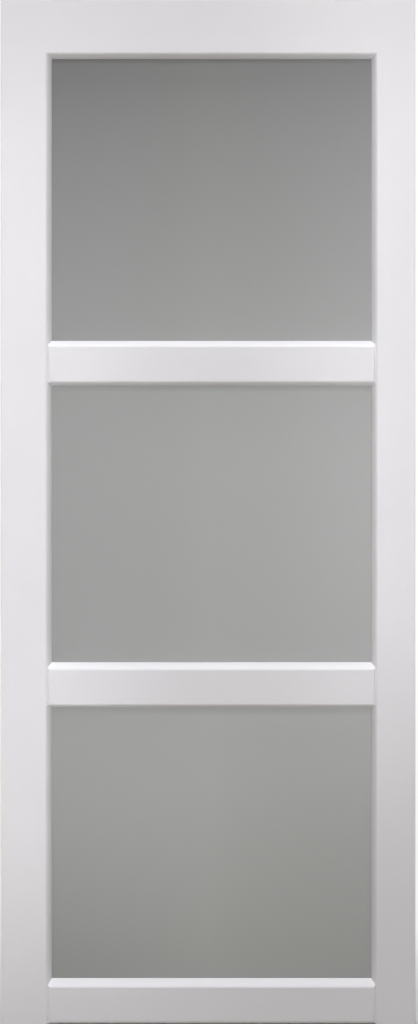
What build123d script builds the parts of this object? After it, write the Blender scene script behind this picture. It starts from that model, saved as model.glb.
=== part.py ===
"""Glazed sliding door: a painted stile-and-rail leaf with three lights, hung from a soffit track.

Millimetres, +Z up. X runs along the wall and the front of the leaf faces -Y. The origin lies on
the flat top of the track, at its middle, in the mid-plane of the leaf. The leaf is drawn closed,
to the right of the track's middle.
"""

import os

from build123d import *

os.makedirs("parts", exist_ok=True)

# Leaf
leaf_width = 826.0
leaf_height = 2040.0
leaf_thickness = 40.0
left_stile_face = 87.5
right_stile_face = 73.5
top_rail_face = 103.0
mid_rail_face = 65.0
bottom_rail_face = 63.0
light_step = 11.0  # each light is this much shorter than the one above it
arris_radius = 1.5

# Moulding worked on the stiles and rails, from the face down to the glass
quirk_width = 4.0
quirk_depth = 6.0
moulding_width = 12.5
moulding_depth = 16.0
lip_depth = 17.0
joint_width = 6.5  # V where a rail's face meets a stile
joint_depth = 6.5
bottom_bevel_height = 8.0
bottom_bevel_depth = 5.0

# Glass and glazing beads
glass_thickness = 4.0
glass_edge_gap = 2.0
bead_setback = 1.0
bead_round = 6.0

# Track, an aluminium channel open below
track_width = 36.0
track_height = 34.0
track_wall = 3.0
track_slot = 12.0
tread_lip_width = 1.5
tread_lip_height = 1.5
track_overrun = 25.0
track_screw_radius = 2.5
inner_screw_spacing = 500.0
outer_screw_inset = 76.0

# Trolleys, each a block with two axles and four wheels
trolley_length = 70.0
trolley_height = 16.0
axle_spacing = 44.0
axle_radius = 2.5
wheel_radius = 11.0
wheel_width = 5.8
wheel_bore_gap = 0.1
wheel_tread_gap = 0.3
wheel_lip_gap = 0.7
wheel_side_gap = 0.2

# Hangers on the leaf's top edge
hanger_inset = 130.0
hanger_drop = 16.0  # underside of the track to the top of the leaf
plate_length = 60.0
plate_width = 30.0
plate_thickness = 3.0
plate_corner = 4.0
plate_screw_spacing = 44.0
bolt_radius = 4.0
bolt_hole_gap = 0.3
bolt_flats = 13.0
bolt_head_height = 5.3
bolt_nut_height = 6.5
bolt_engagement = 12.0
bolt_pocket_radius = 9.0
bolt_pocket_depth = 10.0

# Countersunk screws in the hanger plates and the floor guide
screw_radius = 2.25
screw_head_radius = 4.25

# End stops inside the track
stop_length = 30.0
stop_side_gap = 0.3
stop_top_gap = 1.0
stop_chamfer = 2.0
buffer_length = 8.0
buffer_radius = 6.0
stop_clearance = 5.0

# Floor guide and the groove that runs over it
guide_overlap = 50.0  # leaf still over the guide at either end of its travel
guide_length = 70.0
guide_width = 32.0
guide_base_thickness = 3.0
guide_corner = 4.0
guide_screw_spacing = 54.0
fin_length = 36.0
fin_thickness = 6.0
fin_engagement = 12.0
fin_round = 1.5
groove_side_gap = 0.5
groove_top_gap = 6.0
floor_clearance = 8.0  # floor to the underside of the leaf

# Places worked out from the sizes above
front = -leaf_thickness / 2
back = leaf_thickness / 2
leaf_left = -guide_overlap / 2
leaf_right = leaf_left + leaf_width
travel = leaf_width - guide_overlap  # the leaf opens this far to the left
leaf_top = -track_height - hanger_drop
leaf_bottom = leaf_top - leaf_height
floor = leaf_bottom - floor_clearance
left_line = leaf_left + left_stile_face
right_line = leaf_right - right_stile_face
glass_front = front + lip_depth
glass_back = glass_front + glass_thickness
tread_top = -track_height + track_wall
wheel_axis = tread_top + wheel_tread_gap + wheel_radius
wheel_inner_face = track_slot / 2 + tread_lip_width + wheel_lip_gap
wheel_outer_face = wheel_inner_face + wheel_width
left_hanger = leaf_left + hanger_inset
right_hanger = leaf_right - hanger_inset

rails_height = top_rail_face + 2 * mid_rail_face + bottom_rail_face + bottom_bevel_height
mean_light = (leaf_height - rails_height) / 3
upper_light_top = leaf_top - top_rail_face
upper_light_bottom = upper_light_top - mean_light - light_step
middle_light_top = upper_light_bottom - mid_rail_face
middle_light_bottom = middle_light_top - mean_light
lower_light_top = middle_light_bottom - mid_rail_face
lower_light_bottom = lower_light_top - mean_light + light_step


def keep(piece, name):
    """Label a finished piece and write it to its own file."""
    piece.part.label = name
    export_step(piece.part, f"parts/{name}.step")


def moulding_outline(line, side):
    """Moulding from the face line towards the light, as (depth, position) pairs."""
    return [
        (front, line),
        (front + quirk_depth, line + side * quirk_width),
        (front + moulding_depth, line + side * moulding_width),
        (glass_front, line + side * moulding_width),
        (glass_front, line),
    ]


def across(outline):
    """The same outline drawn on a horizontal section, with the position first."""
    return [(position, depth) for depth, position in outline]


# Stiles: full height, with the moulding and the glass rebate run right through
groove_width = fin_thickness + 2 * groove_side_gap
groove_depth = fin_engagement + groove_top_gap


def stile(name, edge, line, side):
    """Stile from its outer edge to the face line; side points towards the light."""
    with BuildPart() as piece:
        with BuildSketch(Plane.XY.offset(leaf_bottom)):
            with BuildLine():
                Polyline(
                    (edge, front),
                    *across(moulding_outline(line, side)),
                    (line, back),
                    (edge, back),
                    close=True,
                )
            make_face()
        extrude(amount=leaf_height)
        outer_face = piece.faces().filter_by(Axis.X).sort_by_distance((edge, 0, leaf_bottom))[0]
        fillet(outer_face.edges().filter_by(Axis.Z), radius=arris_radius)
        with Locations(((edge + line) / 2, 0, leaf_bottom)):
            Box(
                2 * leaf_width,
                groove_width,
                2 * groove_depth,
                mode=Mode.SUBTRACT,
            )
    keep(piece, name)


stile("left_stile", leaf_left, left_line, 1)
stile("right_stile", leaf_right, right_line, -1)


def rail(name, upper_edge, lower_edge, v_jointed=True, grooved=False, hung=False):
    """Rail between the stiles, its ends coped over their moulding and, as a rule, eased to a V."""
    with BuildPart() as piece:
        with BuildSketch(Plane.YZ.offset(left_line)):
            with BuildLine():
                Polyline(*upper_edge, *reversed(lower_edge), close=True)
            make_face()
        extrude(amount=right_line - left_line)
        with BuildSketch(Plane.XY.offset(leaf_bottom)):
            for line, side in ((left_line, 1), (right_line, -1)):
                with BuildLine():
                    Polyline(*across(moulding_outline(line, side)), close=True)
                make_face()
                if v_jointed:
                    with BuildLine():
                        Polyline(
                            (line, front),
                            (line + side * joint_width, front),
                            (line, front + joint_depth),
                            close=True,
                        )
                    make_face()
        extrude(amount=leaf_height, mode=Mode.SUBTRACT)
        if grooved:
            with Locations(((left_line + right_line) / 2, 0, leaf_bottom)):
                Box(leaf_width, groove_width, 2 * groove_depth, mode=Mode.SUBTRACT)
        if hung:
            with Locations((left_hanger, 0, leaf_top), (right_hanger, 0, leaf_top)):
                Cylinder(bolt_pocket_radius, 2 * bolt_pocket_depth, mode=Mode.SUBTRACT)
    keep(piece, name)


def moulded_edge(line, side):
    """Rail edge with the moulding in front and the glass rebate behind."""
    return [*moulding_outline(line, side), (back, line)]


plain_top = [(front, leaf_top), (back, leaf_top)]
bevelled_bottom = [
    (front, leaf_bottom + bottom_bevel_height),
    (front + bottom_bevel_depth, leaf_bottom),
    (back, leaf_bottom),
]
rail("top_rail", plain_top, moulded_edge(upper_light_top, -1), v_jointed=False, hung=True)
rail("upper_mid_rail", moulded_edge(upper_light_bottom, 1), moulded_edge(middle_light_top, -1))
rail("lower_mid_rail", moulded_edge(middle_light_bottom, 1), moulded_edge(lower_light_top, -1))
rail("bottom_rail", moulded_edge(lower_light_bottom, 1), bevelled_bottom, grooved=True)

# Lights: each pane lies against the lip and is held by four mitred beads from behind
bead_width = moulding_width
bead_depth = leaf_thickness - lip_depth - glass_thickness - bead_setback
light_middle_x = (left_line + right_line) / 2
lights = {
    "upper": (upper_light_bottom, upper_light_top),
    "middle": (middle_light_bottom, middle_light_top),
    "lower": (lower_light_bottom, lower_light_top),
}

for light, (low, high) in lights.items():
    light_middle = (light_middle_x, back, (low + high) / 2)
    with BuildPart() as pane:
        with Locations((light_middle_x, (glass_front + glass_back) / 2, (low + high) / 2)):
            Box(
                right_line - left_line - 2 * glass_edge_gap,
                glass_thickness,
                high - low - 2 * glass_edge_gap,
            )
    keep(pane, f"{light}_pane")

    outer = [(left_line, low), (right_line, low), (right_line, high), (left_line, high)]
    inner = [
        (left_line + bead_width, low + bead_width),
        (right_line - bead_width, low + bead_width),
        (right_line - bead_width, high - bead_width),
        (left_line + bead_width, high - bead_width),
    ]
    for index, side in enumerate(("bottom", "right", "top", "left")):
        following = (index + 1) % 4
        with BuildPart() as bead:
            with BuildSketch(Plane.XZ.offset(-glass_back)):
                with BuildLine():
                    Polyline(
                        outer[index],
                        outer[following],
                        inner[following],
                        inner[index],
                        close=True,
                    )
                make_face()
            extrude(amount=-bead_depth)
            rear_face = bead.faces().sort_by(Axis.Y)[-1]
            fillet(rear_face.edges().sort_by_distance(light_middle)[0], radius=bead_round)
        keep(bead, f"{light}_pane_{side}_bead")

# Track: channel with a slot below and a low lip along the inner edge of each tread
track_half = leaf_right + track_overrun
outer_screw_spacing = 2 * (track_half - outer_screw_inset)
channel_width = track_width - 2 * track_wall
with BuildPart() as track:
    with BuildSketch(Plane.YZ.offset(-track_half)):
        with Locations((0, -track_height / 2)):
            Rectangle(track_width, track_height)
            Rectangle(channel_width, track_height - 2 * track_wall, mode=Mode.SUBTRACT)
        with Locations((0, tread_top + tread_lip_height / 2)):
            Rectangle(track_slot + 2 * tread_lip_width, tread_lip_height)
        with Locations((0, -track_height)):
            Rectangle(
                track_slot,
                2 * (track_wall + tread_lip_height),
                mode=Mode.SUBTRACT,
            )
    extrude(amount=2 * track_half)
    for spacing in (inner_screw_spacing, outer_screw_spacing):
        with GridLocations(spacing, 0, 2, 1):
            Cylinder(track_screw_radius, 3 * track_wall, mode=Mode.SUBTRACT)
keep(track, "track")

# Trolleys, wheels, pendant bolts and hanger plates, one set near either end of the leaf
trolley_bottom = wheel_axis - trolley_height / 2
trolley_half_width = wheel_inner_face - wheel_side_gap
bolt_top = trolley_bottom + bolt_engagement
plate_top = leaf_top + plate_thickness

for side, hanger in (("left", left_hanger), ("right", right_hanger)):
    axles = ((hanger - axle_spacing / 2, wheel_axis), (hanger + axle_spacing / 2, wheel_axis))

    with BuildPart() as trolley:
        with BuildSketch(Plane.XZ):
            with Locations((hanger, wheel_axis)):
                SlotOverall(trolley_length, trolley_height)
        extrude(amount=trolley_half_width, both=True)
        with BuildSketch(Plane.XZ):
            with Locations(*axles):
                Circle(axle_radius)
        extrude(amount=wheel_outer_face, both=True)
        with BuildSketch(Plane.XY.offset(trolley_bottom)):
            with Locations((hanger, 0)):
                Circle(bolt_radius + bolt_hole_gap)
        extrude(amount=bolt_engagement, mode=Mode.SUBTRACT)
    keep(trolley, f"{side}_trolley")

    with BuildPart() as wheels:
        for wheel_face in (wheel_outer_face, -wheel_inner_face):
            with BuildSketch(Plane.XZ.offset(wheel_face)):
                with Locations(*axles):
                    Circle(wheel_radius)
                    Circle(axle_radius + wheel_bore_gap, mode=Mode.SUBTRACT)
            extrude(amount=-wheel_width)
    keep(wheels, f"{side}_trolley_wheels")

    with BuildPart() as bolt:
        with BuildSketch(Plane.XY.offset(leaf_top - bolt_head_height)):
            with Locations((hanger, 0)):
                RegularPolygon(bolt_flats / 2, 6, major_radius=False)
        extrude(amount=bolt_head_height)
        with BuildSketch(Plane.XY.offset(plate_top)):
            with Locations((hanger, 0)):
                RegularPolygon(bolt_flats / 2, 6, major_radius=False)
        extrude(amount=bolt_nut_height)
        with BuildSketch(Plane.XY.offset(leaf_top)):
            with Locations((hanger, 0)):
                Circle(bolt_radius)
        extrude(amount=bolt_top - leaf_top)
    keep(bolt, f"{side}_hanger_bolt")

    with BuildPart() as plate:
        with BuildSketch(Plane.XY.offset(leaf_top)):
            with Locations((hanger, 0)):
                RectangleRounded(plate_length, plate_width, plate_corner)
                Circle(bolt_radius + bolt_hole_gap, mode=Mode.SUBTRACT)
        extrude(amount=plate_thickness)
        with Locations((hanger, 0, plate_top)):
            with GridLocations(plate_screw_spacing, 0, 2, 1):
                CounterSinkHole(screw_radius, screw_head_radius)
    keep(plate, f"{side}_hanger_plate")

# End stops: a block seated on the tread lips, with a rubber buffer facing the trolley
stop_bottom = tread_top + tread_lip_height
stop_height = -track_wall - stop_top_gap - stop_bottom

for side, hanger, way in (("left", left_hanger - travel, -1), ("right", right_hanger, 1)):
    buffer_face = hanger + way * (trolley_length / 2 + stop_clearance)
    stop_face = buffer_face + way * buffer_length

    with BuildPart() as stop:
        with Locations((stop_face + way * stop_length / 2, 0, stop_bottom + stop_height / 2)):
            Box(stop_length, channel_width - 2 * stop_side_gap, stop_height)
        chamfer(stop.faces().sort_by(Axis.Z)[-1].edges(), length=stop_chamfer)
    keep(stop, f"{side}_track_stop")

    with BuildPart() as buffer:
        with BuildSketch(Plane.YZ.offset(stop_face)):
            with Locations((0, wheel_axis)):
                Circle(buffer_radius)
        extrude(amount=-way * buffer_length)
    keep(buffer, f"{side}_stop_buffer")

# Floor guide: a base screwed to the floor with a fin that stands in the leaf's groove
with BuildPart() as floor_guide:
    with BuildSketch(Plane.XY.offset(floor)):
        RectangleRounded(guide_length, guide_width, guide_corner)
    extrude(amount=guide_base_thickness)
    with BuildSketch(Plane.XY.offset(floor)):
        Rectangle(fin_length, fin_thickness)
    extrude(amount=floor_clearance + fin_engagement)
    fillet(floor_guide.faces().sort_by(Axis.Z)[-1].edges(), radius=fin_round)
    with Locations((0, 0, floor + guide_base_thickness)):
        with GridLocations(guide_screw_spacing, 0, 2, 1):
            CounterSinkHole(screw_radius, screw_head_radius)
keep(floor_guide, "floor_guide")
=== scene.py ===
"""Looks of the glazed sliding door: painted timber, satin glass, track gear and their small fixings."""

import math

import bmesh
import bpy
from mathutils import Matrix, Vector


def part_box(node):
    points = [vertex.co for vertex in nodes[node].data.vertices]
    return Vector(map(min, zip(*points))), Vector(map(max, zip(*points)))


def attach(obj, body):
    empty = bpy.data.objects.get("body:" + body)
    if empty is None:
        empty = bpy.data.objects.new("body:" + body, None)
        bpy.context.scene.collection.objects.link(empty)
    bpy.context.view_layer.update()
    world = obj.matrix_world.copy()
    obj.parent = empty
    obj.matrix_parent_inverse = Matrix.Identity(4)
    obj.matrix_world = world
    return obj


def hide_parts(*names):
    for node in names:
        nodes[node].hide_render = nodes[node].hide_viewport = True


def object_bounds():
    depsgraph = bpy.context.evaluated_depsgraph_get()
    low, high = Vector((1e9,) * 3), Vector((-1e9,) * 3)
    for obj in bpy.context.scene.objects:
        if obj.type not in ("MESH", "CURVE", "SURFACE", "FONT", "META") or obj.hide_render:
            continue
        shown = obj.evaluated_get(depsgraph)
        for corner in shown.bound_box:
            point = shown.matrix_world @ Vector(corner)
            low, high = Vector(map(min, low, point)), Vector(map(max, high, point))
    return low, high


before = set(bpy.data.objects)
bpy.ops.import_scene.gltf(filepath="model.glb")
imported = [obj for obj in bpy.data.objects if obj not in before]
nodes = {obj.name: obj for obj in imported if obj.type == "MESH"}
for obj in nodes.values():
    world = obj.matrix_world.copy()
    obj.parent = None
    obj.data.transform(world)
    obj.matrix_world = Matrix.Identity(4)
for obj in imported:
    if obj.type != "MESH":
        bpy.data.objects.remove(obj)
cad_low, cad_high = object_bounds()

# Nodes that share a finish
LIGHTS = ("upper", "middle", "lower")
PANES = tuple(f"{light}_pane" for light in LIGHTS)
UPRIGHT_BEADS = tuple(f"{pane}_{side}_bead" for pane in PANES for side in ("left", "right"))
LEVEL_BEADS = tuple(f"{pane}_{side}_bead" for pane in PANES for side in ("top", "bottom"))
ENDS = ("left", "right")

# Leaf, from the frame
leaf_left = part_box("left_stile")[0].x
leaf_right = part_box("right_stile")[1].x
leaf_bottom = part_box("left_stile")[0].z
leaf_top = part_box("left_stile")[1].z
leaf_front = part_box("left_stile")[0].y
leaf_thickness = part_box("left_stile")[1].y - leaf_front
floor_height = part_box("floor_guide")[0].z
leaf_middle = (leaf_left + leaf_right) / 2

# Moulding round the lights: a broken arris, then a full round bevel that steepens down to the lip
MOULDING_WIDTH = 0.0125
LIP_DEPTH = 0.017
ARRIS_ROUND = 0.006
BREAK_ANGLE = math.radians(50)
STEEP_ANGLE = math.radians(73)
arris_width = ARRIS_ROUND * math.sin(BREAK_ANGLE)
arris_depth = ARRIS_ROUND * (1 - math.cos(BREAK_ANGLE))
bevel_round = (MOULDING_WIDTH - arris_width) / (math.sin(STEEP_ANGLE) - math.sin(BREAK_ANGLE))
bevel_depth = arris_depth + bevel_round * (math.cos(BREAK_ANGLE) - math.cos(STEEP_ANGLE))

# Other worked edges of the timber
EDGE_ROUND = 0.0015
BOTTOM_EASE = 0.008
BOTTOM_ROUND = 0.011
JOINT_DEPTH = 0.0034
JOINT_ROUND = 0.0075
GROOVE_WIDTH = 0.007
GROOVE_HEIGHT = 0.018
POCKET_RADIUS = 0.009
POCKET_DEPTH = 0.010
HAIR = 0.000001
BOARD_SHARP_ANGLE = math.radians(25)

# Angle past which an edge of a small fixing stays crisp
FIXING_SHARP_ANGLE = math.radians(30)

# Countersunk screws in the hanger plates and the floor guide, and pan heads inside the track
PLATE_SCREW_SPACING = 0.044
GUIDE_SCREW_SPACING = 0.054
GUIDE_BASE_THICKNESS = 0.003
TRACK_SCREW_PLACES = (-0.75, -0.25, 0.25, 0.75)
TRACK_WALL = 0.003
COUNTERSUNK = {"Crown Radius": 0.0042, "Seat Radius": 0.0023, "Head Height": 0.0022}
PAN_HEAD = {"Crown Radius": 0.0038, "Seat Radius": 0.0047, "Head Height": 0.0026}
CROSS_RECESS = {"Recess Width": 0.0010, "Recess Length": 0.0046, "Recess Depth": 0.0014}

# Pins through the round of the glazing beads
BEAD_ROUND = 0.006
PIN_INSET = 0.060
PIN_SIZES = {"Spacing": 0.150, "Head Radius": 0.0009, "Head Height": 0.0003}

# Pendant bolts
BOLT_FLATS = 0.013
BOLT_NUT_HEIGHT = 0.0065
NUT_CROWN_SHARE = 0.475
NUT_OVERRUN_SHARE = 0.25
CHAMFER_SLOPE = math.sqrt(3)
BOLT_RADIUS = 0.004
THREAD_PITCH = 0.00125
THREAD_RIDGE = 0.0005

# Picture, 418 by 1024 pixels, with the leaf's outline placed in it
PICTURE_WIDTH = 418
PICTURE_HEIGHT = 1024
LEAF_LEFT_PIXEL = 0.7
LEAF_RIGHT_PIXEL = 415.4
EYE_HEIGHT = 1.55
EYE_DISTANCE = 2.9
SENSOR = 0.036

# Floor, shaded under the track and fading to white away from it
FLOOR_BOUNCE = (0.315, 0.285, 0.245, 1)
FLOOR_SEEN = (0.80, 0.80, 0.80, 1)
FLOOR_SHADED_STRIP = 0.05
FLOOR_NEAR_REACH = 0.40
FLOOR_NEAR_WHITE = 0.70
FLOOR_FADE_END = 3.0
FLOOR_REACH = 30.0

# Finishes
PAINT_LIGHT = (0.800, 0.792, 0.822, 1)
PAINT_SHADE = (0.782, 0.774, 0.806, 1)
# Glass grey by height up the leaf: painted light and shade, darkest at the top, lightest a third of the
# way up and darker again at the bottom
GLASS_PAINTED_LIGHT_AND_SHADE = (
    (0.02, (0.490, 0.498, 0.485, 1)),
    (0.31, (0.562, 0.571, 0.561, 1)),
    (0.36, (0.500, 0.510, 0.502, 1)),
    (0.63, (0.478, 0.486, 0.480, 1)),
    (0.67, (0.413, 0.418, 0.414, 1)),
    (0.95, (0.238, 0.238, 0.237, 1)),
)
# Glass grey by place across the leaf: painted shade, darker towards the left side and a little towards
# the right
GLASS_PAINTED_SIDE_SHADE = ((0.12, (0.77, 0.77, 0.77, 1)), (0.50, (1, 1, 1, 1)), (0.90, (0.96, 0.96, 0.96, 1)))
GLASS_CLEARNESS = 0.40


class Finish:
    """A new material with its surface shader and a short way to add and join nodes."""

    def __init__(self, name):
        self.material = bpy.data.materials.new(name)
        self.material.use_nodes = True
        self.tree = self.material.node_tree
        self.surface = self.tree.nodes["Principled BSDF"]
        self.place = self.node("ShaderNodeTexCoord").outputs["Object"]

    def node(self, kind, **settings):
        made = self.tree.nodes.new(kind)
        for name, value in settings.items():
            setattr(made, name, value)
        return made

    def join(self, source, target):
        self.tree.links.new(source, target)

    def set(self, **values):
        for name, value in values.items():
            self.surface.inputs[name.replace("_", " ")].default_value = value

    def stretched(self, scale):
        """Object coordinates multiplied along each axis."""
        mapping = self.node("ShaderNodeMapping")
        mapping.inputs["Scale"].default_value = scale
        self.join(self.place, mapping.inputs["Vector"])
        return mapping.outputs["Vector"]

    def noise(self, place, scale, detail=2.0):
        noise = self.node("ShaderNodeTexNoise")
        noise.inputs["Scale"].default_value = scale
        noise.inputs["Detail"].default_value = detail
        self.join(place, noise.inputs["Vector"])
        return noise.outputs["Fac"]

    def ramp(self, factor, stops):
        """Colour ramp with (place, colour) stops."""
        ramp = self.node("ShaderNodeValToRGB")
        elements = ramp.color_ramp.elements
        while len(elements) < len(stops):
            elements.new(0.5)
        for element, (place, colour) in zip(elements, stops):
            element.position = place
            element.color = colour
        self.join(factor, ramp.inputs["Fac"])
        return ramp.outputs["Color"]

    def share(self, value, low, high):
        """How far a value has come from low to high, from 0 to 1."""
        share = self.node("ShaderNodeMapRange")
        share.inputs["From Min"].default_value = low
        share.inputs["From Max"].default_value = high
        self.join(value, share.inputs["Value"])
        return share.outputs["Result"]

    def spread(self, factor, low, high):
        """A 0 to 1 value carried to the range from low to high."""
        spread = self.node("ShaderNodeMapRange")
        spread.inputs["To Min"].default_value = low
        spread.inputs["To Max"].default_value = high
        self.join(factor, spread.inputs["Value"])
        return spread.outputs["Result"]

    def bump(self, height, distance, under=None):
        """Bump of a real height, laid over another bump where one is given."""
        bump = self.node("ShaderNodeBump")
        bump.inputs["Distance"].default_value = distance
        bump.inputs["Strength"].default_value = 1.0
        self.join(height, bump.inputs["Height"])
        if under is not None:
            self.join(under, bump.inputs["Normal"])
        return bump.outputs["Normal"]


def white_paint(name, grain):
    """Satin white paint, rolled on, with the timber's grain just telling through it."""
    finish = Finish(name)
    finish.set(Specular_IOR_Level=0.25)
    cloud = finish.noise(finish.place, 5.0, detail=3.0)
    colour = finish.ramp(cloud, [(0.35, PAINT_SHADE), (0.65, PAINT_LIGHT)])
    finish.join(colour, finish.surface.inputs["Base Color"])
    finish.join(finish.spread(cloud, 0.50, 0.60), finish.surface.inputs["Roughness"])
    grain_lines = finish.noise(finish.stretched(grain), 1.0, detail=4.0)
    stipple = finish.noise(finish.place, 650.0, detail=1.0)
    rolled = finish.bump(stipple, 0.00006)
    finish.join(finish.bump(grain_lines, 0.00010, under=rolled), finish.surface.inputs["Normal"])
    return finish.material


def satin_glass():
    """Glass etched to a fine satin and partly clear, its grey carrying painted light and shade: darkest
    at the top of the leaf, lightest a third of the way up, darker again at the bottom, and darker towards
    the sides.
    """
    finish = Finish("satin_glass")
    finish.set(IOR=1.5, Transmission_Weight=GLASS_CLEARNESS)
    place = finish.node("ShaderNodeSeparateXYZ")
    finish.join(finish.place, place.inputs["Vector"])
    # Painted light and shade by height up the leaf
    painted_height_light = finish.ramp(finish.share(place.outputs["Z"], leaf_bottom, leaf_top), GLASS_PAINTED_LIGHT_AND_SHADE)
    # Painted shade across the leaf, darker towards the sides
    shade = finish.ramp(finish.share(place.outputs["X"], leaf_left, leaf_right), GLASS_PAINTED_SIDE_SHADE)
    shaded = finish.node("ShaderNodeVectorMath", operation="MULTIPLY")
    finish.join(painted_height_light, shaded.inputs[0])
    finish.join(shade, shaded.inputs[1])
    finish.join(shaded.outputs["Vector"], finish.surface.inputs["Base Color"])
    etch = finish.noise(finish.place, 1800.0, detail=2.0)
    finish.join(finish.spread(etch, 0.50, 0.62), finish.surface.inputs["Roughness"])
    finish.join(finish.bump(etch, 0.00002), finish.surface.inputs["Normal"])
    return finish.material


def anodised_aluminium():
    """Matt anodised extrusion with faint die lines along its length."""
    finish = Finish("anodised_aluminium")
    finish.set(Metallic=1.0)
    lines = finish.noise(finish.stretched((2.0, 900.0, 900.0)), 1.0, detail=3.0)
    colour = finish.ramp(lines, [(0.3, (0.66, 0.67, 0.68, 1)), (0.7, (0.78, 0.79, 0.80, 1))])
    finish.join(colour, finish.surface.inputs["Base Color"])
    finish.join(finish.spread(lines, 0.42, 0.54), finish.surface.inputs["Roughness"])
    finish.join(finish.bump(lines, 0.00003), finish.surface.inputs["Normal"])
    return finish.material


def plated_steel():
    """Bright zinc plate with the faint spangle of the bath."""
    finish = Finish("plated_steel")
    finish.set(Metallic=1.0)
    spangle = finish.noise(finish.place, 260.0, detail=4.0)
    colour = finish.ramp(spangle, [(0.3, (0.52, 0.53, 0.55, 1)), (0.7, (0.68, 0.68, 0.66, 1))])
    finish.join(colour, finish.surface.inputs["Base Color"])
    finish.join(finish.spread(spangle, 0.22, 0.40), finish.surface.inputs["Roughness"])
    finish.join(finish.bump(spangle, 0.00004), finish.surface.inputs["Normal"])
    return finish.material


def nylon(name, tone):
    """Natural nylon, slightly cloudy."""
    finish = Finish(name)
    finish.set(IOR=1.53)
    cloud = finish.noise(finish.place, 120.0, detail=3.0)
    deeper = tuple(0.93 * value for value in tone)
    colour = finish.ramp(cloud, [(0.3, (*deeper, 1)), (0.7, (*tone, 1))])
    finish.join(colour, finish.surface.inputs["Base Color"])
    finish.join(finish.spread(cloud, 0.42, 0.55), finish.surface.inputs["Roughness"])
    finish.join(finish.bump(finish.noise(finish.place, 1500.0), 0.00002), finish.surface.inputs["Normal"])
    return finish.material


def buffer_rubber():
    """Black rubber with a bloom on it."""
    finish = Finish("buffer_rubber")
    bloom = finish.noise(finish.place, 300.0, detail=4.0)
    colour = finish.ramp(bloom, [(0.3, (0.018, 0.018, 0.018, 1)), (0.7, (0.035, 0.034, 0.033, 1))])
    finish.join(colour, finish.surface.inputs["Base Color"])
    finish.join(finish.spread(bloom, 0.6, 0.8), finish.surface.inputs["Roughness"])
    finish.join(finish.bump(bloom, 0.00006), finish.surface.inputs["Normal"])
    return finish.material


def coat(names, material):
    """Give CAD nodes their finish."""
    for name in names:
        nodes[name].data.materials.clear()
        nodes[name].data.materials.append(material)


upright_paint = white_paint("white_paint_upright", (160.0, 160.0, 5.0))
level_paint = white_paint("white_paint_level", (5.0, 160.0, 160.0))
steel = plated_steel()
aluminium = anodised_aluminium()
coat(UPRIGHT_BEADS, upright_paint)
coat(LEVEL_BEADS, level_paint)
coat(PANES, satin_glass())
coat(("track", "left_track_stop", "right_track_stop"), aluminium)
coat([f"{end}_{piece}" for end in ENDS for piece in ("hanger_plate", "trolley")], steel)
coat([f"{end}_trolley_wheels" for end in ENDS], nylon("wheel_nylon", (0.74, 0.73, 0.68)))
coat(("floor_guide",), nylon("guide_nylon", (0.70, 0.70, 0.67)))
coat([f"{end}_stop_buffer" for end in ENDS], buffer_rubber())


def finished(name, mesh, body, replaced=()):
    """Put a finished mesh in the scene as a piece of the object that rides on a body."""
    piece = bpy.data.objects.new(name, mesh)
    mesh.name = name
    bpy.context.scene.collection.objects.link(piece)
    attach(piece, body)
    if replaced:
        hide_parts(*replaced)


def evaluated_mesh(worker):
    """Plain mesh of a working object with its modifiers taken in, and the working object cleared away."""
    bpy.context.view_layer.update()
    graph = bpy.context.evaluated_depsgraph_get()
    mesh = bpy.data.meshes.new_from_object(worker.evaluated_get(graph), depsgraph=graph)
    worker_mesh = worker.data
    bpy.data.objects.remove(worker)
    bpy.data.meshes.remove(worker_mesh)
    return mesh


def working_object(name, shape):
    """Object that holds a bmesh while modifiers work on it."""
    mesh = bpy.data.meshes.new(name)
    shape.to_mesh(mesh)
    shape.free()
    worker = bpy.data.objects.new(name, mesh)
    bpy.context.scene.collection.objects.link(worker)
    return worker


# Painted timber, each board built up as a stack of rectangles from its face to its back
def round_reach(depth, radius):
    """Reach of a round at a depth below its top."""
    return math.sqrt(max(2 * radius * depth - depth**2, 0.0))


def bevel_reach(depth):
    """How far the moulding stands out from the face line at a depth behind the face."""
    if depth <= arris_depth:
        return round_reach(depth, ARRIS_ROUND)
    if depth >= bevel_depth:
        return MOULDING_WIDTH
    slope = math.acos(math.cos(BREAK_ANGLE) - (depth - arris_depth) / bevel_round)
    return arris_width + bevel_round * (math.sin(slope) - math.sin(BREAK_ANGLE))


def moulding(depth):
    """Moulding in front of the glass, and the rebate behind its lip."""
    return bevel_reach(depth) if depth < LIP_DEPTH else 0.0


joint_reach = bevel_reach(JOINT_DEPTH) + round_reach(JOINT_DEPTH, JOINT_ROUND)


def jointed_end(depth):
    """Rail end scribed over the stile's moulding, its face rounded down to make a V with it."""
    rounded = joint_reach - round_reach(min(depth, JOINT_ROUND), JOINT_ROUND)
    return max(moulding(depth), rounded) if depth < JOINT_DEPTH else moulding(depth)


def eased_edge(depth):
    """Set-back of a stile's outer edge where its two arrises are rounded."""
    inward = min(depth, leaf_thickness - depth)
    return EDGE_ROUND - round_reach(max(inward, 0.0), EDGE_ROUND) if inward < EDGE_ROUND else 0.0


def eased_foot(depth):
    """Rise of the bottom rail's lower edge where its face is rounded under."""
    rounded = round_reach(min(depth, BOTTOM_ROUND), BOTTOM_ROUND)
    return max(BOTTOM_EASE - rounded, 0.0)


def guide_groove(depth):
    """Rise of the groove in the leaf's bottom edge."""
    return GROOVE_HEIGHT if abs(depth - leaf_thickness / 2) < GROOVE_WIDTH / 2 else 0.0


def turns(first, last, count):
    """Evenly spaced angles from first to last."""
    return [first + (last - first) * step / count for step in range(count + 1)]


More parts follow.
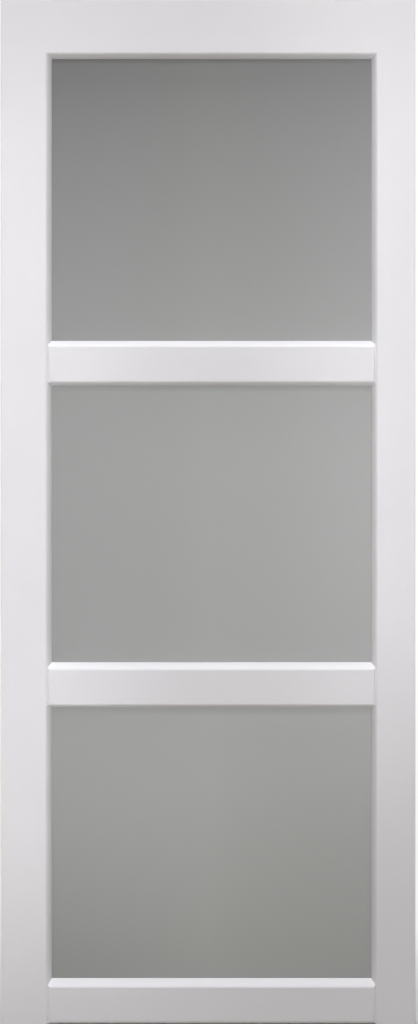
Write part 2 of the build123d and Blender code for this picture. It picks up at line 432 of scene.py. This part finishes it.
def depth_stations():
    """Depths at which the boards have an outline: closer on the rounds, and doubled at the steps."""
    arris = [ARRIS_ROUND * (1 - math.cos(a)) for a in turns(0, BREAK_ANGLE, 5)]
    bevel = [
        arris_depth + bevel_round * (math.cos(BREAK_ANGLE) - math.cos(a))
        for a in turns(BREAK_ANGLE, STEEP_ANGLE, 14)
    ]
    joint_turn = math.acos(1 - JOINT_DEPTH / JOINT_ROUND)
    joint = [JOINT_ROUND * (1 - math.cos(a)) for a in turns(0, joint_turn, 8)]
    foot = [BOTTOM_ROUND * (1 - math.cos(a)) for a in turns(0, math.asin(BOTTOM_EASE / BOTTOM_ROUND), 8)]
    edge = [EDGE_ROUND * (1 - math.cos(a)) for a in turns(0, math.pi / 2, 6)]
    far_edge = [leaf_thickness - depth for depth in edge]
    centre = leaf_thickness / 2
    steps = [LIP_DEPTH, centre - GROOVE_WIDTH / 2, centre + GROOVE_WIDTH / 2]
    doubled = [step + side * HAIR for step in steps for side in (-1, 1)]
    return sorted({round(depth, 8) for depth in arris + bevel + joint + foot + edge + far_edge + doubled})


DEPTHS = depth_stations()


def board(outline):
    """Closed shape through the left, right, lower and upper edges that outline gives at each depth."""
    shape = bmesh.new()
    rings = []
    for depth in DEPTHS:
        left, right, low, high = outline(depth)
        corners = ((left, low), (right, low), (right, high), (left, high))
        rings.append([shape.verts.new((x, leaf_front + depth, z)) for x, z in corners])
    shape.faces.new(rings[0])
    shape.faces.new(reversed(rings[-1]))
    for near, far in zip(rings, rings[1:]):
        for corner, following in ((0, 1), (1, 2), (2, 3), (3, 0)):
            shape.faces.new((near[corner], far[corner], far[following], near[following]))
    return shape


def timber(node, outline, paint, cutter=None):
    """Painted board in place of a CAD board, smooth over its rounds and crisp at its mitres."""
    worker = working_object(node, board(outline))
    if cutter is not None:
        cut = worker.modifiers.new("pockets", "BOOLEAN")
        cut.object = cutter
        cut.solver = "EXACT"
    worker.data.shade_smooth()
    worker.data.set_sharp_from_angle(angle=BOARD_SHARP_ANGLE)
    even = worker.modifiers.new("even_shading", "WEIGHTED_NORMAL")
    even.keep_sharp = True
    even.weight = 100
    mesh = evaluated_mesh(worker)
    mesh.materials.clear()
    mesh.materials.append(paint)
    finished(f"painted_{node}", mesh, "leaf", (node,))


left_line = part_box("left_stile")[1].x - MOULDING_WIDTH
right_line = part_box("right_stile")[0].x + MOULDING_WIDTH


def left_stile(depth):
    low = leaf_bottom + guide_groove(depth)
    return leaf_left + eased_edge(depth), left_line + moulding(depth), low, leaf_top


def right_stile(depth):
    low = leaf_bottom + guide_groove(depth)
    return right_line - moulding(depth), leaf_right - eased_edge(depth), low, leaf_top


def top_rail(depth):
    end = moulding(depth)
    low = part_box("top_rail")[0].z + MOULDING_WIDTH
    return left_line + end, right_line - end, low - moulding(depth), leaf_top


def mid_rail(node):
    """Outline of a rail with the moulding along both its edges."""
    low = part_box(node)[0].z + MOULDING_WIDTH
    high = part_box(node)[1].z - MOULDING_WIDTH

    def outline(depth):
        end = jointed_end(depth)
        return left_line + end, right_line - end, low - moulding(depth), high + moulding(depth)

    return outline


def bottom_rail(depth):
    end = jointed_end(depth)
    low = leaf_bottom + eased_foot(depth) + guide_groove(depth)
    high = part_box("bottom_rail")[1].z - MOULDING_WIDTH
    return left_line + end, right_line - end, low, high + moulding(depth)


def bolt_pockets():
    """Working object for the two round pockets under the hanger plates."""
    shape = bmesh.new()
    for end in ENDS:
        low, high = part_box(f"{end}_hanger_bolt")
        bmesh.ops.create_cone(
            shape,
            cap_ends=True,
            segments=32,
            radius1=POCKET_RADIUS,
            radius2=POCKET_RADIUS,
            depth=2 * POCKET_DEPTH,
            matrix=Matrix.Translation(((low.x + high.x) / 2, 0, leaf_top)),
        )
    return working_object("bolt_pockets", shape)


timber("left_stile", left_stile, upright_paint)
timber("right_stile", right_stile, upright_paint)
pockets = bolt_pockets()
timber("top_rail", top_rail, level_paint, pockets)
bpy.data.objects.remove(pockets)
for rail in ("upper_mid_rail", "lower_mid_rail"):
    timber(rail, mid_rail(rail), level_paint)
timber("bottom_rail", bottom_rail, level_paint)


class Pattern:
    """A geometry tree with named sizes and a short way to add and join nodes."""

    def __init__(self, name, sizes):
        self.tree = bpy.data.node_groups.new(name, "GeometryNodeTree")
        sockets = self.tree.interface
        sockets.new_socket("Geometry", in_out="INPUT", socket_type="NodeSocketGeometry")
        for size in sizes:
            sockets.new_socket(size, in_out="INPUT", socket_type="NodeSocketFloat")
        sockets.new_socket("Geometry", in_out="OUTPUT", socket_type="NodeSocketGeometry")
        self.given = self.tree.nodes.new("NodeGroupInput").outputs
        self.result = self.tree.nodes.new("NodeGroupOutput").inputs["Geometry"]

    def node(self, kind, inputs, **settings):
        """Add a node and give its first output; inputs take sockets, lists of sockets or plain values."""
        made = self.tree.nodes.new(kind)
        for name, value in settings.items():
            setattr(made, name, value)
        for name, value in inputs.items():
            for source in value if isinstance(value, list) else [value]:
                if isinstance(source, bpy.types.NodeSocket):
                    self.tree.links.new(source, made.inputs[name])
                else:
                    made.inputs[name].default_value = source
        return made.outputs[0]

    def math(self, operation, first, second):
        return self.node("ShaderNodeMath", {0: first, 1: second}, operation=operation)

    def raised(self, shape, height):
        """The shape moved up by a height."""
        place = self.node("ShaderNodeCombineXYZ", {"Z": height})
        return self.node("GeometryNodeTransform", {"Geometry": shape, "Translation": place})

    def cone(self, sides, foot, top, height):
        """A cone or prism that stands on the origin."""
        sizes = {"Vertices": sides, "Radius Bottom": foot, "Radius Top": top, "Depth": height}
        return self.node("GeometryNodeMeshCone", sizes)

    def boolean(self, operation, first, others):
        """Cut others from first, or keep what they share; an intersection takes all as one list."""
        shapes = {"Mesh 1": first, "Mesh 2": others} if first else {"Mesh 2": others}
        return self.node("GeometryNodeMeshBoolean", shapes, operation=operation, solver="EXACT")

    def close(self, points, shape, material, rotation=None):
        """Set the shape at every point, make it real and give it its finish."""
        placed = {"Points": points, "Instance": shape}
        if rotation is not None:
            placed["Rotation"] = rotation
        instances = self.node("GeometryNodeInstanceOnPoints", placed)
        real = self.node("GeometryNodeRealizeInstances", {"Geometry": instances})
        coated = self.node("GeometryNodeSetMaterial", {"Geometry": real, "Material": material})
        self.tree.links.new(coated, self.result)


def grown(name, pattern, base, sizes, body, replaced=()):
    """Run a pattern over a base shape and keep the result as one plain piece."""
    worker = working_object(name, base)
    modifier = worker.modifiers.new("pattern", "NODES")
    modifier.node_group = pattern.tree
    for socket in pattern.tree.interface.items_tree:
        if socket.in_out == "INPUT" and socket.name in sizes:
            modifier[socket.identifier] = sizes[socket.name]
    mesh = evaluated_mesh(worker)
    mesh.shade_smooth()
    mesh.set_sharp_from_angle(angle=FIXING_SHARP_ANGLE)
    finished(name, mesh, body, replaced)


def points(places):
    """Loose points as a base for a pattern."""
    shape = bmesh.new()
    for place in places:
        shape.verts.new(place)
    return shape


def cross_screws(name, turned=False):
    """Screw heads with a cross recess, their crowns at the points, facing up or turned to face down."""
    pattern = Pattern(name, [*COUNTERSUNK, *CROSS_RECESS])
    given = pattern.given
    height = given["Head Height"]
    head = pattern.cone(24, given["Seat Radius"], given["Crown Radius"], height)
    head = pattern.raised(head, pattern.math("MULTIPLY", height, -1.0))
    width, length = given["Recess Width"], given["Recess Length"]
    through = pattern.math("MULTIPLY", given["Recess Depth"], 2.0)
    slots = []
    for across, along in ((width, length), (length, width)):
        size = pattern.node("ShaderNodeCombineXYZ", {"X": across, "Y": along, "Z": through})
        slots.append(pattern.node("GeometryNodeMeshCube", {"Size": size}))
    head = pattern.boolean("DIFFERENCE", head, slots)
    rotation = (math.pi, 0, 0) if turned else (0, 0, 0)
    pattern.close(given["Geometry"], head, steel, rotation)
    return pattern


def middle(node):
    """Middle of a CAD node's box."""
    low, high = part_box(node)
    return (low + high) / 2


plate_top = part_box("left_hanger_plate")[1].z
hangers = [middle(f"{end}_hanger_plate").x for end in ENDS]
half_spacing = PLATE_SCREW_SPACING / 2
plate_screws = [(x + side * half_spacing, 0, plate_top) for x in hangers for side in (-1, 1)]
facing_up = cross_screws("screws_facing_up")
facing_down = cross_screws("screws_facing_down", turned=True)
sunk = {**COUNTERSUNK, **CROSS_RECESS}
pan = {**PAN_HEAD, **CROSS_RECESS}
grown("hanger_screws", facing_up, points(plate_screws), sunk, "leaf")

guide_base_top = floor_height + GUIDE_BASE_THICKNESS
guide_screws = [(side * GUIDE_SCREW_SPACING / 2, 0, guide_base_top) for side in (-1, 1)]
grown("guide_screws", facing_up, points(guide_screws), sunk, "track_and_guide")

web_crown = cad_high.z - TRACK_WALL - PAN_HEAD["Head Height"]
track_screws = [(x, 0, web_crown) for x in TRACK_SCREW_PLACES]
grown("track_screws", facing_down, points(track_screws), pan, "track_and_guide")

stop_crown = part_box("left_track_stop")[0].z - PAN_HEAD["Head Height"]
stop_screws = [(middle(f"{end}_track_stop").x, 0, stop_crown) for end in ENDS]
grown("stop_screws", facing_down, points(stop_screws), pan, "track_and_guide")


def bead_pins():
    """Painted pin heads at even spaces along the round of every bead, square to it."""
    pattern = Pattern("bead_pins", PIN_SIZES)
    given = pattern.given
    lines = pattern.node("GeometryNodeMeshToCurve", {"Mesh": given["Geometry"]})
    spacing = {"Curve": lines, "Length": given["Spacing"]}
    spaced = pattern.node("GeometryNodeResampleCurve", spacing, mode="LENGTH")
    radius = given["Head Radius"]
    head = pattern.cone(12, radius, pattern.math("MULTIPLY", radius, 0.7), given["Head Height"])
    axis = pattern.node("GeometryNodeInputNamedAttribute", {"Name": "pin_axis"}, data_type="FLOAT_VECTOR")
    square = pattern.node("FunctionNodeAlignRotationToVector", {"Vector": axis}, axis="Z")
    pattern.close(spaced, head, upright_paint, square)
    return pattern


def bead_lines():
    """A line along the round of each bead, with the way that its pins point."""
    shape = bmesh.new()
    pin_axis = shape.verts.layers.float_vector.new("pin_axis")
    rearward = Vector((0, 1, 0))
    inward_ways = {"left": (1, 0, 0), "right": (-1, 0, 0), "top": (0, 0, -1), "bottom": (0, 0, 1)}
    setback = BEAD_ROUND * (1 - math.sqrt(0.5))
    for pane in PANES:
        for side, way in inward_ways.items():
            low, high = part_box(f"{pane}_{side}_bead")
            inward = Vector(way)
            along = Vector((0, 0, 1)) if inward.x else Vector((1, 0, 0))
            rear_edge = (low + high) / 2 + rearward * (high.y - low.y) / 2
            rear_edge += inward * abs((high - low).dot(inward)) / 2
            on_round = rear_edge - setback * (inward + rearward)
            reach = (high - low).dot(along) / 2 - PIN_INSET
            ends = [shape.verts.new(on_round + sense * reach * along) for sense in (-1, 1)]
            for end in ends:
                end[pin_axis] = (inward + rearward).normalized()
            shape.edges.new(ends)
    return shape


grown("bead_pins", bead_pins(), bead_lines(), PIN_SIZES, "leaf")


def pendant_bolts():
    """Threaded bolts with their hexagon heads and lock nuts, standing on the points."""
    sizes = ("Length", "Head Height", "Nut Foot", "Nut Height", "Flats", "Radius", "Pitch", "Ridge")
    pattern = Pattern("pendant_bolts", sizes)
    given = pattern.given
    corner = pattern.math("DIVIDE", given["Flats"], math.sqrt(3))
    head = pattern.cone(6, corner, corner, given["Head Height"])
    nut_height = given["Nut Height"]
    nut = pattern.cone(6, corner, corner, nut_height)
    crown = pattern.math("MULTIPLY", given["Flats"], NUT_CROWN_SHARE)
    overrun = pattern.math("MULTIPLY", nut_height, NUT_OVERRUN_SHARE)
    tip = pattern.math("SUBTRACT", crown, pattern.math("MULTIPLY", overrun, CHAMFER_SLOPE))
    skirt_reach = (1 + NUT_OVERRUN_SHARE) * CHAMFER_SLOPE
    skirt = pattern.math("ADD", crown, pattern.math("MULTIPLY", nut_height, skirt_reach))
    chamfer_height = pattern.math("MULTIPLY", nut_height, 1 + 2 * NUT_OVERRUN_SHARE)
    chamfer = pattern.cone(40, skirt, tip, chamfer_height)
    chamfer = pattern.raised(chamfer, pattern.math("MULTIPLY", overrun, -1.0))
    nut = pattern.raised(pattern.boolean("INTERSECT", None, [nut, chamfer]), given["Nut Foot"])
    core_radius = pattern.math("SUBTRACT", given["Radius"], given["Ridge"])
    core = pattern.cone(32, core_radius, core_radius, given["Length"])
    threaded = pattern.math("SUBTRACT", given["Length"], given["Head Height"])
    threaded = pattern.math("SUBTRACT", threaded, given["Pitch"])
    helix = {
        "Resolution": 24,
        "Rotations": pattern.math("DIVIDE", threaded, given["Pitch"]),
        "Start Radius": core_radius,
        "End Radius": core_radius,
        "Height": threaded,
    }
    spiral = pattern.node("GeometryNodeCurveSpiral", helix)
    ridge = pattern.node("GeometryNodeCurvePrimitiveCircle", {"Resolution": 4, "Radius": given["Ridge"]})
    run = {"Curve": spiral, "Profile Curve": ridge, "Fill Caps": True}
    thread = pattern.raised(pattern.node("GeometryNodeCurveToMesh", run), given["Head Height"])
    bolt = pattern.node("GeometryNodeJoinGeometry", {"Geometry": [head, nut, core, thread]})
    pattern.close(given["Geometry"], bolt, steel)
    return pattern


bolt_foot, bolt_top = (corner.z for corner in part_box("left_hanger_bolt"))
BOLT_SIZES = {
    "Length": bolt_top - bolt_foot,
    "Head Height": leaf_top - bolt_foot,
    "Nut Foot": plate_top - bolt_foot,
    "Nut Height": BOLT_NUT_HEIGHT,
    "Flats": BOLT_FLATS,
    "Radius": BOLT_RADIUS,
    "Pitch": THREAD_PITCH,
    "Ridge": THREAD_RIDGE,
}
grown(
    "pendant_bolts",
    pendant_bolts(),
    points([(x, 0, bolt_foot) for x in hangers]),
    BOLT_SIZES,
    "leaf",
    ("left_hanger_bolt", "right_hanger_bolt"),
)


def seen_rays(tree):
    """1 on rays that reach the eye straight, by reflection or through glass."""
    rays = tree.nodes.new("ShaderNodeLightPath")
    seen = rays.outputs["Is Camera Ray"]
    for kind in ("Is Glossy Ray", "Is Transmission Ray"):
        either = tree.nodes.new("ShaderNodeMath")
        either.operation = "MAXIMUM"
        tree.links.new(seen, either.inputs[0])
        tree.links.new(rays.outputs[kind], either.inputs[1])
        seen = either.outputs[0]
    return seen


def floor_finish():
    """Matt floor, pale to the eye, that fades to white away from the track and keeps a soft shadow."""
    finish = Finish("studio_floor")
    finish.set(Roughness=0.9)
    seen = seen_rays(finish.tree)
    colour = finish.ramp(seen, [(0, FLOOR_BOUNCE), (1, FLOOR_SEEN)])
    finish.join(colour, finish.surface.inputs["Base Color"])
    aside = finish.node("ShaderNodeVectorMath", operation="ABSOLUTE")
    finish.join(finish.place, aside.inputs[0])
    past_track = finish.node("ShaderNodeVectorMath", operation="SUBTRACT")
    past_track.inputs[1].default_value = (cad_high.x, 0, 0)
    finish.join(aside.outputs["Vector"], past_track.inputs[0])
    beyond = finish.node("ShaderNodeVectorMath", operation="MAXIMUM")
    finish.join(past_track.outputs["Vector"], beyond.inputs[0])
    away = finish.node("ShaderNodeVectorMath", operation="LENGTH")
    finish.join(beyond.outputs["Vector"], away.inputs[0])
    reach = finish.share(away.outputs["Value"], 0.0, FLOOR_FADE_END)
    shares = ((FLOOR_SHADED_STRIP, 0.0), (FLOOR_NEAR_REACH, FLOOR_NEAR_WHITE), (FLOOR_FADE_END, 1.0))
    stops = [(distance / FLOOR_FADE_END, (white, white, white, 1)) for distance, white in shares]
    share = finish.node("ShaderNodeMath", operation="MULTIPLY")
    finish.join(finish.ramp(reach, stops), share.inputs[0])
    finish.join(seen, share.inputs[1])
    white = finish.node("ShaderNodeEmission")
    mix = finish.node("ShaderNodeMixShader")
    finish.join(share.outputs[0], mix.inputs["Fac"])
    finish.join(finish.surface.outputs[0], mix.inputs[1])
    finish.join(white.outputs[0], mix.inputs[2])
    finish.join(mix.outputs[0], finish.tree.nodes["Material Output"].inputs["Surface"])
    return finish.material


def pale_floor():
    """Plain pale floor under the guide, its mesh measured from the middle of the track."""
    mesh = bpy.data.meshes.new("studio_floor")
    ways = ((-1, -1), (1, -1), (1, 1), (-1, 1))
    corners = [(x * FLOOR_REACH, y * FLOOR_REACH, 0) for x, y in ways]
    mesh.from_pydata(corners, [], [(0, 1, 2, 3)])
    floor = bpy.data.objects.new("studio_floor", mesh)
    floor.location.z = floor_height
    bpy.context.scene.collection.objects.link(floor)
    mesh.materials.append(floor_finish())


def soft_light(name, place, aim, width, height, power, spread=180.0):
    """A rectangular soft light turned towards a point, its beam as wide as its spread in degrees."""
    data = bpy.data.lights.new(name, "AREA")
    data.shape = "RECTANGLE"
    data.size = width
    data.size_y = height
    data.energy = power
    data.spread = math.radians(spread)
    light = bpy.data.objects.new(name, data)
    light.location = place
    light.rotation_euler = (Vector(aim) - Vector(place)).to_track_quat("-Z", "Y").to_euler()
    bpy.context.scene.collection.objects.link(light)


def surroundings(ambient):
    """White to the eye and in reflections, dimmer as light on the object."""
    world = bpy.data.worlds.new("studio")
    bpy.context.scene.world = world
    world.use_nodes = True
    tree = world.node_tree
    shown = tree.nodes["Background"]
    shown.inputs["Color"].default_value = (1, 1, 1, 1)
    fill = tree.nodes.new("ShaderNodeBackground")
    fill.inputs["Color"].default_value = (0.96, 0.97, 1.0, 1)
    fill.inputs["Strength"].default_value = ambient
    mix = tree.nodes.new("ShaderNodeMixShader")
    tree.links.new(seen_rays(tree), mix.inputs["Fac"])
    tree.links.new(fill.outputs[0], mix.inputs[1])
    tree.links.new(shown.outputs[0], mix.inputs[2])
    tree.links.new(mix.outputs[0], tree.nodes["World Output"].inputs["Surface"])


def camera():
    """Square to the leaf at eye height, its frame shifted down to hold the leaf's outline."""
    pixel = (leaf_right - leaf_left) / (LEAF_RIGHT_PIXEL - LEAF_LEFT_PIXEL)
    frame_height = PICTURE_HEIGHT * pixel
    frame_middle_x = leaf_left + (PICTURE_WIDTH / 2 - LEAF_LEFT_PIXEL) * pixel
    frame_middle_z = leaf_top - frame_height / 2
    eye_z = floor_height + EYE_HEIGHT
    data = bpy.data.cameras.new("camera")
    data.sensor_width = SENSOR * 1000
    data.lens = SENSOR * 1000 * EYE_DISTANCE / frame_height
    data.shift_y = (frame_middle_z - eye_z) / frame_height
    eye = bpy.data.objects.new("camera", data)
    eye.location = (frame_middle_x, leaf_front - EYE_DISTANCE, eye_z)
    eye.rotation_euler = (math.pi / 2, 0, 0)
    bpy.context.scene.collection.objects.link(eye)
    bpy.context.scene.camera = eye


# Narrow beams on the stiles, each with its name, side, height, length and power
BEAMS = (("left_beam", -1, -1.05, 1.8, 0.84), ("right_beam", 1, -0.76, 1.5, 0.64))
BEAM_ASIDE = 0.75
BEAM_AIM_ASIDE = 0.38
BEAM_DISTANCE = 2.4
BEAM_WIDTH = 0.25
BEAM_SPREAD = 22.0

pale_floor()
soft_light("overhead_light", (leaf_middle, -1.3, 7.0), (leaf_middle, 0, -1.2), 2.6, 1.2, 275.0)
soft_light("high_front_light", (leaf_middle, -4.2, 4.2), (leaf_middle, 0, -1.1), 2.0, 1.2, 125.0)
soft_light("front_light", (leaf_middle, -3.1, -0.35), (leaf_middle, 0, -1.1), 1.2, 1.0, 30.0)
for name, side, height, length, power in BEAMS:
    place = (leaf_middle + side * BEAM_ASIDE, -BEAM_DISTANCE, height)
    aim = (leaf_middle + side * BEAM_AIM_ASIDE, 0, height)
    soft_light(name, place, aim, BEAM_WIDTH, length, power, BEAM_SPREAD)
soft_light("rear_light", (leaf_middle - 1.0, 2.6, 3.2), (leaf_middle, 0, -0.9), 1.8, 1.2, 85.0)
surroundings(0.10)
camera()
bpy.context.scene.view_settings.view_transform = "Standard"
